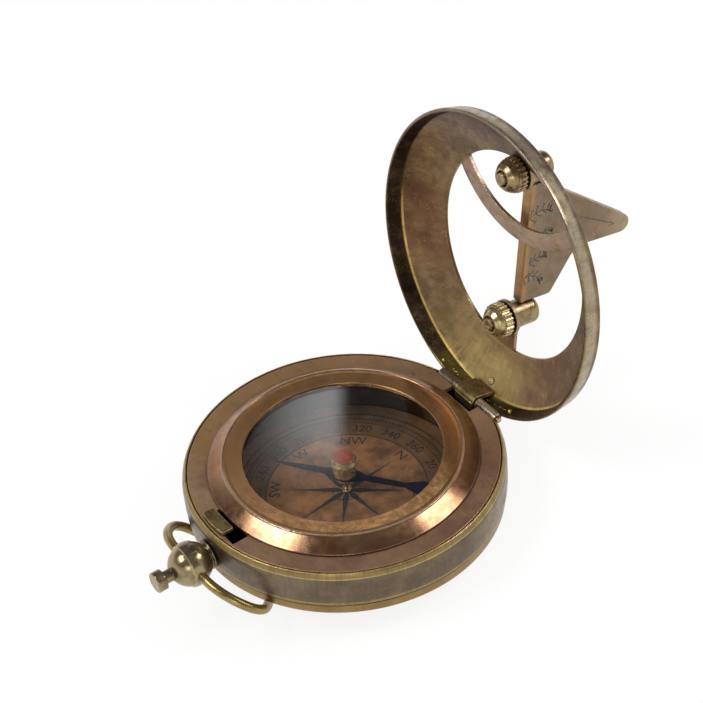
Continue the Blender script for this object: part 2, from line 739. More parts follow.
def post_brass():
    """Brass, turned and dulled by handling: pale brown posts and upper nut with bright rims."""
    return aged_metal(
        "turned_dull_brass", colours().post, "#5c4a38", "#dcc48c", axis="lid", rough=0.27, cloud=1.5,
        rings=0.1, flecks=0.12, edge=0.16, dirt_reach=0.4,
    )


def bright_brass():
    """Brass, turned and left bright: pale yellow lower nut, hub, rivet and pin ends."""
    return aged_metal(
        "bright_turned_brass", colours().nut, "#86704a", "#f4e8c4", rough=0.24, cloud=1.2, patch=0.6,
        rings=0.15, flecks=0.1, edge=0.1, dirt_reach=0.35,
    )


def solder_brass():
    """Brazing, left as it ran: bright yellow beads with an uneven skin."""
    return aged_metal(
        "run_brass_solder", srgb("#d6c070"), "#9c8440", "#fbf3c8", axis="lid", rough=0.25, cloud=0.6,
        rings=0, streaks=0, scratches=0, flecks=0.3, dirt=0.3,
    )


def bow_brass():
    """Brass wire, drawn and bent: golden olive, darker where it is handled least."""
    return aged_metal(
        "drawn_brass_wire", colours().bow, "#6e5a38", "#e4cfa0", rough=0.26, cloud=3, patch=0.4, rings=0,
        flecks=0.1,
    )


def pendant_brass():
    """Brass, turned as a ball: olive brown, with bright rings cut round it."""
    return aged_metal(
        "turned_olive_brass", colours().pendant, "#43382a", "#cbb888", axis="pendant", rough=0.2, cloud=3,
        rings=0.15, flecks=0.12, edge=0.18, edge_share=0.95, dirt_reach=1.2, bump=0.1,
    )


def tube_brass():
    """Brass tube, drawn and dulled: grey brown, with a pale, worn crown at its right end."""
    return aged_metal(
        "drawn_dull_tube", srgb("#a8947c"), "#4f4436", "#efe2c8", rough=0.26, cloud=1.4, rings=0,
        flecks=0.2, edge=0.15, zones=(
            ("#e4d5bc", 0.6, ("height", HINGE_Z + 0.55, HINGE_Z + 0.8), ("x", 2.7, 3.2)),
        ),
    )


def strap_brass():
    """Brass strip, cut and bent: an olive strap and catch with edges filed bright."""
    return aged_metal(
        "bent_olive_brass", colours().strap, "#5a4a30", "#dcc890", rough=0.3, cloud=1.6, rings=0,
        flecks=0.15, edge=0.22, edge_share=0.95, dirt=0.45,
    )


def spring_steel():
    """Spring steel, rolled and oiled: a dull grey strip."""
    return aged_metal(
        "rolled_spring_steel", srgb("#6a6c70"), "#3c3d40", "#a8abb0", rough=0.35, cloud=2, rings=0,
        flecks=0.08,
    )


def bowl_brass():
    """Brass, spun and darkened: the well behind the glass stays deep."""
    return aged_metal("spun_dark_brass", srgb("#3c3022"), "#1d1711", "#7a6a44", rough=0.45, cloud=4)


def clear_glass():
    """Window glass, ground and polished: clear, with a soft film of dust specks."""
    material, tree, shader = blank("polished_glass")
    shader.inputs["Base Color"].default_value = (1, 1, 1, 1)
    shader.inputs["IOR"].default_value = 1.5
    shader.inputs["Transmission Weight"].default_value = 1
    shader.inputs["Roughness"].default_value = 0.02
    specks = patches(tree, centred(tree, "case"), 0.32, 1.0, 0.55, 0.78, 0.82, most=0.35)
    dust = add(tree, "ShaderNodeBsdfDiffuse", {"Color": srgb("#b9b3a6")})
    both = add(tree, "ShaderNodeMixShader", {0: specks, 1: shader.outputs[0], 2: dust.outputs[0]})
    # Light passes straight through to the dial
    clear = add(tree, "ShaderNodeBsdfTransparent")
    path = add(tree, "ShaderNodeLightPath")
    lit = add(tree, "ShaderNodeMixShader", {
        0: path.outputs["Is Shadow Ray"], 1: both.outputs[0], 2: clear.outputs[0],
    })
    tree.links.new(lit.outputs[0], tree.nodes["Material Output"].inputs["Surface"])
    return material


def dial_lacquer():
    """Copper foil under old lacquer: a tan card with brown stains, darker under the scale."""
    material, tree, shader = blank("lacquered_copper_card")
    place = centred(tree, "case")
    stains = patches(tree, place, 3.5, 5.0, 0.65, 0.35, 0.7)
    colour = tinted(tree, colours().dial, srgb("#6a4a30"), stains)
    under_scale = within(tree, measured(tree, place)[1], (("radius", 12.4, 12.8),))
    colour = tinted(tree, colour, srgb("#574630"), under_scale, 0.62)
    freckles = patches(tree, place, 0.6, 4.0, 0.7, 0.55, 0.75, most=0.5)
    colour = tinted(tree, colour, srgb("#42301f"), freckles)
    tree.links.new(colour, shader.inputs["Base Color"])
    shader.inputs["Metallic"].default_value = 0.35
    shader.inputs["Roughness"].default_value = 0.5
    return material


def two_toned(name, colour, other, patch, roughness, metallic=0.0):
    """A thin coat of one colour, with patches of another given by their size, detail and range."""
    material, tree, shader = blank(name)
    shares = patches(tree, centred(tree, "case"), *patch)
    tree.links.new(tinted(tree, colour, srgb(other), shares), shader.inputs["Base Color"])
    shader.inputs["Metallic"].default_value = metallic
    shader.inputs["Roughness"].default_value = roughness
    return material


THIN_INK = (0.7, 4.0, 0.7, 0.5, 0.75, 0.0, 0.6)
INK_ROUGHNESS = 0.55


def scale_ink():
    """Brown-black printing ink on the card: matt, and thin in places."""
    return two_toned("brown_printing_ink", colours().ink, "#6b4c36", THIN_INK, INK_ROUGHNESS)


def star_ink():
    """Blue-green printing ink of the star and letters: matt, and thin in places."""
    return two_toned("blue_green_printing_ink", colours().star, "#4a4434", THIN_INK, INK_ROUGHNESS)


def engraving_wax():
    """Black wax rubbed into the engraving: grey-green where it has dried."""
    return two_toned("engraving_wax", srgb("#33352e"), "#6e6858", THIN_INK, INK_ROUGHNESS)


def blued_steel():
    """Steel, tempered blue: dark, with a soft violet sheen in patches."""
    return two_toned("blued_steel", colours().needle, "#1b1f36", (2.0, 3.0, 0.55, 0.4, 0.65), 0.32, 1.0)


def cap_enamel():
    """Cold enamel, brushed on: brick red with a chipped, lighter middle."""
    chips = (0.8, 4.0, 0.7, 0.45, 0.7, 0.0, 0.7)
    return two_toned("cold_red_enamel", colours().cap, "#a04a38", chips, 0.35)


MAKERS = {
    "band": satin_brass, "cover": cover_brass, "deck": deck_copper, "bezel": polished_copper,
    "lid": bronzed_lid, "gnomon": gnomon_brass, "post": post_brass, "bright": bright_brass,
    "solder": solder_brass, "bow": bow_brass, "pendant": pendant_brass, "tube": tube_brass,
    "strap": strap_brass, "steel": spring_steel, "bowl": bowl_brass, "glass": clear_glass,
    "dial": dial_lacquer, "scale": scale_ink, "star": star_ink, "needle": blued_steel,
    "cap": cap_enamel, "wax": engraving_wax,
}
FINISHES = {}


def finish_of(key):
    """The material of a finish, made when it is first asked for."""
    if key not in FINISHES:
        FINISHES[key] = MAKERS[key]()
    return FINISHES[key]


def finish(obj, key, body=None, replaces=()):
    """Gives a piece its finish, its body and the nodes that it stands for. What a
    pattern repeats has no body yet."""
    obj.data.materials.clear()
    obj.data.materials.append(finish_of(key))
    if body:
        # Flat faces keep their own normals next to a rounded edge
        level = obj.modifiers.new("level", "WEIGHTED_NORMAL")
        level.keep_sharp = True
        baked(obj)
        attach(obj, body)
        if replaces:
            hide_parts(*replaces)


# Pieces

class CompassOperator:
    """What every step of the compass shares."""

    bl_options = {"REGISTER"}

    @classmethod
    def poll(cls, context):
        return context.scene is not None


class MakeCase(CompassOperator, bpy.types.Operator):
    """Turn the back cover, the band and the deck plate"""

    bl_idname = "compass.make_case"
    bl_label = "Case"

    def execute(self, context):
        rim_r = CASE_R - 1.1
        cover_r = COVER_HIGH.x
        cover = turned("back_cover_shell", [
            (0, 0), (17.2, 0), (cover_r, 0.2, 0.85), (cover_r, SEAM - 0.22, 0.12), (rim_r, SEAM - 0.16),
            (rim_r, COVER_HIGH.z), (rim_r - 0.5, COVER_HIGH.z), (rim_r - 0.5, 1.2, 0.3),
            (rim_r - 1, 0.7), (0, 0.7),
        ])
        finish(cover, "cover", "case", ["back_cover"])
        top = BAND_HIGH.z
        band = turned("band_wall", [
            (rim_r + 0.05, SEAM), (CASE_R - 0.15, SEAM, 0.15), (CASE_R - 0.02, 4.2, 8),
            (CASE_R, top - 1.37, 2), (CASE_R - 0.13, top - 0.77, 0.6), (CASE_R - 0.33, top - 0.3, 0.3),
            (CASE_R - 0.52, top, 0.12), (CASE_R - 0.74, top, 0.06), (CASE_R - 0.74, DECK_LOW.z - 0.05),
            (rim_r - 0.5, DECK_LOW.z - 0.05), (rim_r - 0.5, SEAM + 0.9), (rim_r + 0.05, SEAM + 0.9),
        ])
        notch = ((-2.7, HINGE_Y - 2.6, 6.9), (3.9, CASE_R + 1, top + 1))
        groove = ((PIN_LOW.x - 0.15, HINGE_Y, HINGE_Z), (PIN_HIGH.x + 0.15, HINGE_Y, HINGE_Z), 0.96)
        worked(band, "DIFFERENCE", [
            block("notch", *notch), rod("groove", *groove),
            rod("socket", (0, -22, BALL_Z), (0, -26, BALL_Z), 1.55),
        ])
        finish(band, "band", "case", ["case_band"])
        deck = turned("deck_ring", [
            (SKIRT_R + 0.1, DECK_LOW.z), (CASE_R - 0.9, DECK_LOW.z), (CASE_R - 0.9, DECK_TOP, 0.1),
            (SKIRT_R + 0.1, DECK_TOP, 0.05),
        ])
        worked(deck, "DIFFERENCE", [
            block("notch", (notch[0][0], notch[0][1], 7), (notch[1][0], notch[1][1], 10)),
            rod("groove", *groove),
            block("slot", (-2.9, -23.3, 7), (4.7, -20.3, 10)),
        ])
        finish(deck, "deck", "case", ["deck_plate"])
        return {"FINISHED"}


class MakeBezel(CompassOperator, bpy.types.Operator):
    """Turn the bezel and grind the glass"""

    bl_idname = "compass.make_bezel"
    bl_label = "Bezel and glass"

    def execute(self, context):
        low, top, out = BEZEL_LOW.z + 0.85, BEZEL_HIGH.z, BEZEL_HIGH.x
        lap = GLASS_R - 1.16
        ring = turned("bezel_ring", [
            (SKIRT_R, low), (out, low, 0.04), (out, low + 0.27, 0.1), (out - 2.2, top - 0.17, 0.25),
            (out - 2.34, top - 0.02, 0.08), (out - 2.55, top, 0.08), (out - 2.68, top - 0.09, 0.1),
            (out - 3.2, top - 0.08, 0.6), (lap, top - 0.2, 0.12), (lap, GLASS_HIGH.z + 0.05),
            (GLASS_R + 0.1, GLASS_HIGH.z + 0.05), (GLASS_R + 0.1, GLASS_LOW.z - 0.25),
            (GLASS_R + 0.6, low + 0.1), (SKIRT_R - 0.55, low + 0.1), (SKIRT_R - 0.55, low - 0.85),
            (SKIRT_R, low - 0.85),
        ], sharp=math.radians(50))
        finish(ring, "bezel", "case", ["bezel"])
        glass = turned("glass_disc", [
            (0, GLASS_LOW.z), (GLASS_R, GLASS_LOW.z, 0.08), (GLASS_R, GLASS_HIGH.z, 0.12),
            (0, GLASS_HIGH.z),
        ])
        finish(glass, "glass", "case", ["crystal"])
        return {"FINISHED"}


class MakeDial(CompassOperator, bpy.types.Operator):
    """Print the dial's scale, numbers, letters and star"""

    bl_idname = "compass.make_dial"
    bl_label = "Dial"

    def execute(self, context):
        card = turned("dial_card", [
            (0.85, DIAL_LOW.z), (DIAL_HIGH.x, DIAL_LOW.z), (DIAL_HIGH.x, DIAL_TOP, 0.05),
            (0.85, DIAL_TOP),
        ])
        finish(card, "dial", "case", ["dial_plate"])
        look = sizes()
        thick = 0.02
        edge_r, hub_r, letters_r = 17.4, 2.2, 11.1
        lines = [
            self.line(radius, width, thick)
            for radius, width in ((look.scale_in / MM, 0.16), (look.scale_mid / MM, 0.12),
                                  (look.scale_out / MM, 0.14), (edge_r, 0.2), (hub_r, 0.12))
        ]
        finish(joined("dial_lines", lines), "scale", "case")
        marks = []
        for count, length in ((look.degree_marks, 0.6), (look.degree_marks // 5, 0.95)):
            mark = plate("mark", [(-length, -0.07), (0, -0.07), (0, 0.07), (-length, 0.07)],
                         DIAL_TOP, DIAL_TOP + thick)
            finish(mark, "scale")
            tree = ring_tree("marks_round_the_scale", finish_of("scale"))
            marks.append(grown("marks", tree, {
                "Count": count, "Radius": look.scale_out - 0.05 * MM, "Item": mark,
            }))
            bpy.data.objects.remove(mark)
        finish(joined("dial_degree_marks", marks), "scale", "case")
        middle = (look.scale_in + look.scale_mid) / 2 / MM
        numbers = [
            self.lettered(str(degrees), middle, degrees, 2.15, thick)
            for degrees in range(look.number_step, 361, look.number_step)
        ]
        finish(joined("dial_numbers", numbers), "scale", "case")
        letters = [
            self.lettered(body, letters_r, 45 * k, 2.4, thick)
            for k, body in enumerate(("N", "NE", "E", "SE", "S", "SW", "W", "NW"))
        ]
        finish(joined("dial_letters", letters), "star", "case")
        points = []
        for k in range(8):
            reach = look.star_reach / MM * (1 if k % 2 == 0 else 0.95)
            spear = [(0, 0), (1.6, -0.5), (reach * 0.5, -0.24), (reach, 0), (reach * 0.5, 0.24), (1.6, 0.5)]
            turn = Matrix.Rotation(math.radians(DIAL_TURN + 45 * k), 4, "Z")
            points.append(plate("spear", spear, DIAL_TOP + 0.005, DIAL_TOP + 0.04, turn))
        finish(joined("dial_star", points), "star", "case")
        return {"FINISHED"}

    def line(self, radius, width, thick):
        """A printed circle."""
        low, high = radius - width / 2, radius + width / 2
        return turned("line", [(low, DIAL_TOP), (high, DIAL_TOP), (high, DIAL_TOP + thick),
                               (low, DIAL_TOP + thick)])

    def lettered(self, body, radius, bearing, size, thick):
        """A printed figure that stands upright when its bearing is at the top."""
        place = (
            Matrix.Rotation(math.radians(90 + DIAL_TURN - bearing), 4, "Z")
            @ Matrix.Translation((radius, 0, DIAL_TOP + thick / 2))
            @ Matrix.Rotation(-math.pi / 2, 4, "Z")
        )
        return words("figure", body, size, thick, place)


class MakeNeedle(CompassOperator, bpy.types.Operator):
    """Cut the needle and turn its hub and cap"""

    bl_idname = "compass.make_needle"
    bl_label = "Needle"

    def execute(self, context):
        tail, point, flare = 13.4, 11.5, 1.5
        half = [
            (tail - 0.7, 0), (tail, flare - 0.35), (tail - 1, flare), (tail - 3.6, 0.5), (3.2, 0.55),
            (1.7, 1.25), (0, 1.7), (-1.7, 1.25), (-3.2, 0.62), (-point + 4, 0.45), (-point, 0),
        ]
        outline = half + [(x, -y) for x, y in half[-2:0:-1]]
        turn = Matrix.Rotation(math.radians(NEEDLE_TURN), 4, "Z")
        blade = plate("needle_blued_blade", outline, BLADE_LOW.z, BLADE_HIGH.z, turn)
        worked(blade, "DIFFERENCE", [rod("bore", (0, 0, 4), (0, 0, 6), 1.03)])
        bevelled(blade, 0.06)
        finish(blade, "needle", "needle", ["needle_blade"])
        low, top = BLADE_HIGH.z + 0.03, HUB_HIGH.z
        hub = turned("needle_turned_hub", [
            (0.6, HUB_LOW.z), (1.5, HUB_LOW.z, 0.08), (1.5, HUB_LOW.z + 0.55, 0.08),
            (1, HUB_LOW.z + 0.55), (1, low), (1.65, low), (1.85, low + 0.3, 0.15),
            (1.85, top - 1.3, 0.05), (2.1, top - 1.2, 0.08), (2.1, top - 0.5, 0.12),
            (1.66, top - 0.45, 0.03), (1.66, top, 0.05), (0, top), (0, top - 0.55), (0.6, top - 1),
        ], steps=96)
        finish(hub, "bright", "needle", ["needle_hub"])
        cap = turned("needle_red_cap", [
            (0, CAP_LOW.z), (1.6, CAP_LOW.z), (1.6, CAP_HIGH.z - 0.06, 0.1), (1.1, CAP_HIGH.z, 0.4),
            (0, CAP_HIGH.z),
        ], steps=96)
        finish(cap, "cap", "needle", ["hub_cap"])
        return {"FINISHED"}


class MakePendant(CompassOperator, bpy.types.Operator):
    """Turn the pendant's ball and the button, and bend the bow"""

    bl_idname = "compass.make_pendant"
    bl_label = "Pendant, button and bow"

    def execute(self, context):
        self.ball()
        self.button()
        self.bow()
        return {"FINISHED"}

    def ball(self):
        """The outline runs along the case's front, as distances from its axis."""
        bore = 1.04
        crown = BALL_Z + BALL_R
        ball = []
        for k in range(97):
            angle = math.radians(-71 + 142 * k / 96 + 3)
            along, out = BALL_R * math.sin(angle), BALL_R * math.cos(angle)
            ball.append((out - (0 if -1.3 < along < 1 else 0.17), BALL_Y + along))
        outline = [(bore, 23.75), (1.5, 23.75), (1.5, CASE_R + 0.1), (2.4, CASE_R + 0.1, 0.15),
                   (2.4, CASE_R + 0.45, 0.15), (2.05, CASE_R + 0.6, 0.1)]
        start = [p for p in ball if p[1] > CASE_R + 0.7]
        outline += start + [(bore + 0.2, start[-1][1] + 0.12, 0.08), (bore, start[-1][1] + 0.05)]
        piece = turned("pendant_ball", outline, PENDANT_AXIS, 128)
        worked(piece, "DIFFERENCE", [
            rod("bore", (-5, -BALL_Y, BALL_Z), (5, -BALL_Y, BALL_Z), 0.8),
            rod("left_mouth", (-5, -BALL_Y, BALL_Z), (-BALL_R + 1.7, -BALL_Y, BALL_Z), 1.3),
            rod("right_mouth", (BALL_R - 1.7, -BALL_Y, BALL_Z), (5, -BALL_Y, BALL_Z), 1.3),
            block("slit", (1.3, -BALL_Y - 0.55, crown - 0.75), (1.42, -BALL_Y + 0.75, crown)),
        ])
        finish(piece, "pendant", "case", ["pendant"])

    def button(self):
        """The stem's inner tip, its shoulder and the button with a slightly dished end."""
        tip, end = -STEM_HIGH.y, -STEM_LOW.y
        head = end - 1.5
        piece = turned("button_stem", [
            (0, tip), (1.35, tip), (1.35, tip + 0.25), (1, tip + 0.25), (1.02, head - 0.05, 0.05),
            (1.65, head, 0.08), (1.65, end - 0.12, 0.1), (1.5, end, 0.05), (0, end - 0.02),
        ], PENDANT_AXIS, 96)
        finish(piece, "pendant", "button", ["push_stem"])

    def bow(self):
        """The wire's middle line: a straight end, a shoulder and a corner on each side, a wide bottom."""
        half = [Vector((1.5, 0, 0)), Vector((3, 0, 0))]
        centre, radius = Vector((4, 7.8, 0)), 7.8
        for first, last, following in ((0, 61.4, 3.4), (61.4, 127.3, 0)):
            steps = 20
            for k in range(steps + 1):
                angle = math.radians(first + (last - first) * k / steps)
                out = Vector((math.sin(angle), -math.cos(angle), 0))
                half.append(centre + radius * out)
            centre, radius = half[-1] - following * out, following
        angle = math.radians(127.3)
        bottom = half[-1].x / math.sin(angle)
        centre = Vector((0, half[-1].y + bottom * math.cos(angle), 0))
        for k in range(1, 25):
            a = angle + (math.pi - angle) * k / 24
            half.append(centre + bottom * Vector((math.sin(a), -math.cos(a), 0)))
        path = [p for k, p in enumerate(half) if k == 0 or (p - half[k - 1]).length > 1e-4]
        path += [Vector((-p.x, p.y, 0)) for p in path[-2::-1]]
        place = Matrix.Translation((0, -BALL_Y, BALL_Z)) @ Matrix.Rotation(math.radians(BOW_TURN), 4, "X")
        piece = wire("bow_wire", path, 0.75, place)
        finish(piece, "bow", "bow", ["bow"])


class MakeHinge(CompassOperator, bpy.types.Operator):
    """Turn the hinge's tubes and pin"""

    bl_idname = "compass.make_hinge"
    bl_label = "Hinge"

    def execute(self, context):
        for name, (low, high) in (("hinge_tube_left", TUBE_LEFT), ("hinge_tube_right", TUBE_RIGHT)):
            place = self.along(low.x)
            length = high.x - low.x
            tube = turned(name + "_rolled", [
                (0.5, 0), (0.9, 0, 0.08), (0.9, length, 0.08), (0.5, length),
            ], place, 64)
            finish(tube, "tube", "case", [name])
        length = PIN_HIGH.x - PIN_LOW.x
        pin = turned("hinge_pin_peened", [
            (0, 0), (0.48, 0.02, 0.12), (0.48, length, 0.15), (0, length),
        ], self.along(PIN_LOW.x), 48)
        finish(pin, "bright", "case", ["hinge_pin"])
        return {"FINISHED"}

    def along(self, x):
        """Turns a piece's axis to the hinge's line, with its foot at x."""
        return Matrix.Translation((x, HINGE_Y, HINGE_Z)) @ Matrix.Rotation(math.pi / 2, 4, "Y")


class MakeLid(CompassOperator, bpy.types.Operator):
    """Press the lid's dished ring and solder its bar and tabs"""

    bl_idname = "compass.make_lid"
    bl_label = "Lid"

    def execute(self, context):
        inner = arch((WINDOW_R, WINDOW_H - SHEET), (CORNER_R, CORNER_H), -DOME)
        outer = arch((SHOULDER_R, SHOULDER_H), (WINDOW_R, WINDOW_H), DOME)
        outline = [inner[0] + (0.08,)] + inner[1:-1] + [inner[-1] + (0.12,)]
        outline += [(LID_R - SHEET, LID_LOW, 0.2), (LID_R, LID_LOW, 0.28), (LID_R - 0.05, 1.2, 0.5)]
        outline += [outer[0] + (0.35,)] + outer[1:-1] + [outer[-1] + (0.1,)]
        dish = turned("lid_dish", outline, LID)
        low, high = WINDOW_H - SHEET + 0.02, WINDOW_H - 0.02
        worked(dish, "UNION", [
            plate("bar", self.bar(), low, high, LID),
            plate("upper_tab", self.tab(-POST_UP, -1), low - 0.005, high + 0.005, LID),
            plate("lower_tab", self.tab(POST_DOWN, 1), low - 0.005, high + 0.005, LID),
        ])
        cut = block("wall_cut", (CUT_X - CUT_HALF, 5, -1), (CUT_X + CUT_HALF, CASE_R + 3, CUT_H), LID)
        holes = [turned("hole", [(0, 5), (1.15, 5), (1.15, 8), (0, 8)],
                        LID @ Matrix.Translation((0, y, 0)), 48) for y in (-POST_UP, POST_DOWN)]
        worked(dish, "DIFFERENCE", [cut] + holes)
        finish(dish, "lid", "lid", ["lid_shell"])
        self.rivet()
        self.solder()
        self.strap()
        return {"FINISHED"}

    def bar(self):
        """The bar is part of a ring, and its ends reach just into the dish's sheet."""
        reach = WINDOW_R + 0.1
        sides = []
        for radius in (BAR_R, BAR_R - BAR_W):
            low = math.asin((radius ** 2 + BAR_Y ** 2 - reach ** 2) / (-2 * BAR_Y * radius))
            turns = [low + (math.pi - 2 * low) * k / 72 for k in range(73)]
            sides.append([(radius * math.cos(a), BAR_Y + radius * math.sin(a)) for a in turns])
        return sides[0] + sides[1][::-1]

    def tab(self, y, side):
        """A disc round the post and a neck to the window's edge."""
        radius, half, reach = 2.9, 2.5, WINDOW_R + 0.1
        last = math.pi - math.asin(half / radius)
        turns = [-last + 2 * last * k / 40 for k in range(41)]
        points = [(radius * math.sin(a), y - side * radius * math.cos(a)) for a in turns]
        edge = math.asin(half / reach)
        turns = [edge - 2 * edge * k / 8 for k in range(9)]
        points += [(reach * math.sin(a), side * reach * math.cos(a)) for a in turns]
        points = [Vector(p) for p in points]
        points = [tuple(p * min(1, reach / p.length)) for p in points]
        return points if side < 0 else points[::-1]

    def solder(self):
        """Beads of solder along the wall's cut edge, with a large one at each of its ends."""
        draw = random.Random(7)
        half = math.asin(CUT_HALF / LID_R)
        middle = math.pi / 2 - math.asin(CUT_X / LID_R)
        beads = [(half * 1.06, 0.52, CUT_H - 0.5, 0.6), (-half, 0.5, CUT_H - 0.25, 0.75)]
        beads += [
            (half * draw.uniform(-1, 1), draw.uniform(0.14, 0.3), CUT_H + draw.uniform(-0.1, 0.05),
             draw.uniform(0.5, 0.68))
            for k in range(44)
        ]
        beads += [
            (half * draw.uniform(0.05, 1.1), draw.uniform(0.1, 0.26),
             draw.uniform(CUT_H, CORNER_H - 0.3), 0.62)
            for k in range(30)
        ]
        mesh = bmesh.new()
        for turn, radius, rise, inset in beads:
            at = (LID_R - inset) * Vector((math.cos(middle + turn), math.sin(middle + turn), 0))
            place = Matrix.Translation(at + Vector((0, 0, rise)))
            flattened = draw.uniform(0.8, 1.2), draw.uniform(0.8, 1.2), draw.uniform(0.6, 1), 1
            squeeze = Matrix.Diagonal(flattened)
            bmesh.ops.create_icosphere(mesh, subdivisions=2, radius=radius, matrix=place @ squeeze)
        for vert in mesh.verts:
            vert.co += 0.03 * Vector(draw.uniform(-1, 1) for k in range(3))
        finish(made("lid_solder", mesh, LID, math.pi), "solder", "lid")

    def strap(self):
        """The knuckle's strap: a plate that stands in the notch, in front of the roll."""
        low, high = span("lid_knuckle")
        leaf = block("lid_knuckle_strap", (low.x + 0.1, low.y - 0.12, HINGE_Z - 1.3),
                     (high.x - 0.1, low.y + 0.35, HINGE_Z + 0.45))
        finish(bevelled(leaf, 0.11), "strap", "lid")

    def rivet(self):
        """The rivet's shank goes through the sheet, and its dimpled head shows above the hinge."""
        slope = math.atan2(WINDOW_H - SHOULDER_H, SHOULDER_R - WINDOW_R)
        low, high = span("lid_rivet")
        centre = (low + high) / 2
        place = Matrix.Translation(centre) @ LID.to_3x3().to_4x4() @ Matrix.Rotation(-slope, 4, "X")
        rivet = turned("lid_rivet_dimpled", [
            (0, -0.8), (0.6, -0.8, 0.08), (0.6, 0.4), (1, 0.4), (1, 0.62, 0.15), (0.5, 0.78, 0.2),
            (0.3, 0.66, 0.1), (0, 0.62),
        ], place, 64)
        finish(rivet, "bright", "lid", ["lid_rivet"])


class MakeSundial(CompassOperator, bpy.types.Operator):
    """Turn the posts and nuts, and cut and engrave the gnomon"""

    bl_idname = "compass.make_sundial"
    bl_label = "Gnomon, posts and nuts"

    def execute(self, context):
        for name, y, side in (("upper", -POST_UP, 1), ("lower", POST_DOWN, -1)):
            self.post(name, y, side)
            self.nut(name, y)
        self.gnomon()
        return {"FINISHED"}

    def post(self, name, y, side):
        """A post with a slotted head, a hole for the gnomon's tang and a thread at its foot."""
        place = LID @ Matrix.Translation((0, y, 0))
        low, head = NUT_TOP - NUT_H - BOSS_H - 0.35, WINDOW_H + 0.02
        post = turned("gnomon_post_%s_turned" % name, [
            (0, low + 0.12), (0.35, low + 0.1, 0.1), (0.6, low, 0.1), (0.95, low + 0.05, 0.1),
            (0.95, 6.45), (1.1, 6.45), (1.1, head), (2.0, head, 0.1), (2.2, head + 0.35, 0.2),
            (2.2, HEAD_TOP, 1.1), (0.8, HEAD_TOP + 0.01, 0.1), (0, HEAD_TOP + 0.01),
        ], place, 96)
        worked(post, "DIFFERENCE", [
            rod("tang_hole", LID @ Vector((0, y, AXIS_H)), LID @ Vector((0, y + side * 3, AXIS_H)),
                TANG_R + 0.04),
            block("slot", (-3, -0.35, HEAD_TOP - 0.8), (3, 0.35, HEAD_TOP + 1), place),
        ])
        finish(post, "post", "lid", ["gnomon_post_%s" % name])
        thread = turned("thread", [(0.9, -0.1), (1.0, 0), (0.9, 0.1)], steps=48)
        finish(thread, "post")
        tree = line_tree("threads_along_the_post", finish_of("post"))
        threads = grown("gnomon_post_%s_thread" % name, tree, {
            "Count": 12, "Pitch": 0.27 * MM, "Item": thread,
        }, place @ Matrix.Translation((0, 0, low + 0.25)))
        bpy.data.objects.remove(thread)
        finish(threads, "post", "lid")

    def nut(self, name, y):
        """A nut's turned body and the ribs round it, which begin lower on the lower nut."""
        place = LID @ Matrix.Translation((0, y, 0))
        low = NUT_TOP - NUT_H
        body = turned("thumb_nut_%s_body" % name, [
            (1.04, low + 0.35), (1.2, low + 0.3, 0.05), (1.3, low - BOSS_H, 0.08),
            (1.62, low - BOSS_H, 0.12), (2.2, low + 0.1, 0.4),
            (2.6, low + 0.8, 0.35), (2.6, NUT_TOP - 0.35, 0.1), (2.2, NUT_TOP, 0.05), (1.04, NUT_TOP),
        ], place, 96)
        metal = "post" if name == "upper" else "bright"
        finish(body, metal, "nut_" + name, ["thumb_nut_" + name])
        first = NUT_H * (0.42 if name == "upper" else 0.24)
        rib = turned("rib", [
            (0, first), (0.13, first + 0.03, 0.05), (0.27, first + 0.3, 0.1), (0.27, NUT_H - 0.3, 0.1),
            (0.13, NUT_H - 0.08, 0.05), (0, NUT_H - 0.05),
        ], steps=10)
        finish(rib, metal)
        tree = ring_tree("ribs_round_the_nut", finish_of(metal))
        ribs = grown("thumb_nut_%s_ribs" % name, tree, {
            "Count": sizes().nut_ribs, "Radius": (NUT_R - 0.27) * MM, "Item": rib,
        }, place @ Matrix.Translation((0, 0, low)))
        bpy.data.objects.remove(rib)
        finish(ribs, metal, "nut_" + name)

    def gnomon(self):
        """The plate stands in the plane of Y and the height, so its outline is turned into place."""
        half, low = 0.95, AXIS_H - 0.95
        top_y, end_y = -POST_UP + 2.5, POST_DOWN - 2.5
        outline = rounded([
            (top_y, low, 0.25), (top_y, AXIS_H + 1.5, 0.8), (end_y - 6.2, WINDOW_H + 26.35, 1.56),
            (end_y - 6.95, AXIS_H + 9.45, 3.5), (end_y + 0.2, AXIS_H + 5, 1), (end_y, low, 0.25),
        ], 12)
        upright = LID @ Matrix(((0, 0, 1, 0), (1, 0, 0, 0), (0, 1, 0, 0), (0, 0, 0, 1)))
        blade = bevelled(plate("gnomon_plate", outline, -half, half, upright), 0.28, 3)
        worked(blade, "UNION", [
            rod("tang", LID @ Vector((0, first, AXIS_H)), LID @ Vector((0, last, AXIS_H)), TANG_R)
            for first, last in ((top_y - 1.5, top_y + 1), (end_y - 1, end_y + 1.5))
        ])
        finish(blade, "gnomon", "gnomon", ["gnomon"])
        strokes = []
        for face in (half, -half):
            for line in self.flourish():
                strokes.append(self.stroke(line, face, upright))
        finish(joined("gnomon_engraving", strokes), "wax", "gnomon")

    def flourish(self):
        """Plain sprays of twigs, large and small, and a line with a dart that points to the tip."""
        lines = []
        for cy, ch, lean, size in ((-7.0, 11.4, 1.9, 1.9), (-2.9, 12.8, 1.6, 0.8), (1.5, 11.6, 2.0, 1.5),
                                   (5.3, 10.9, 1.2, 1.6)):
            lines += self.spray(cy, ch, lean, size)
        lines.append([(-3.3, 19.1), (-2.1, 21.4), (-0.9, 23.8), (0.3, 26.0)])
        lines += [[(0.4, 26.2), (-0.5, 25.3)], [(0.4, 26.2), (0.4, 25.0)], [(-3.3, 19.1), (-2.7, 18.7)]]
        return lines

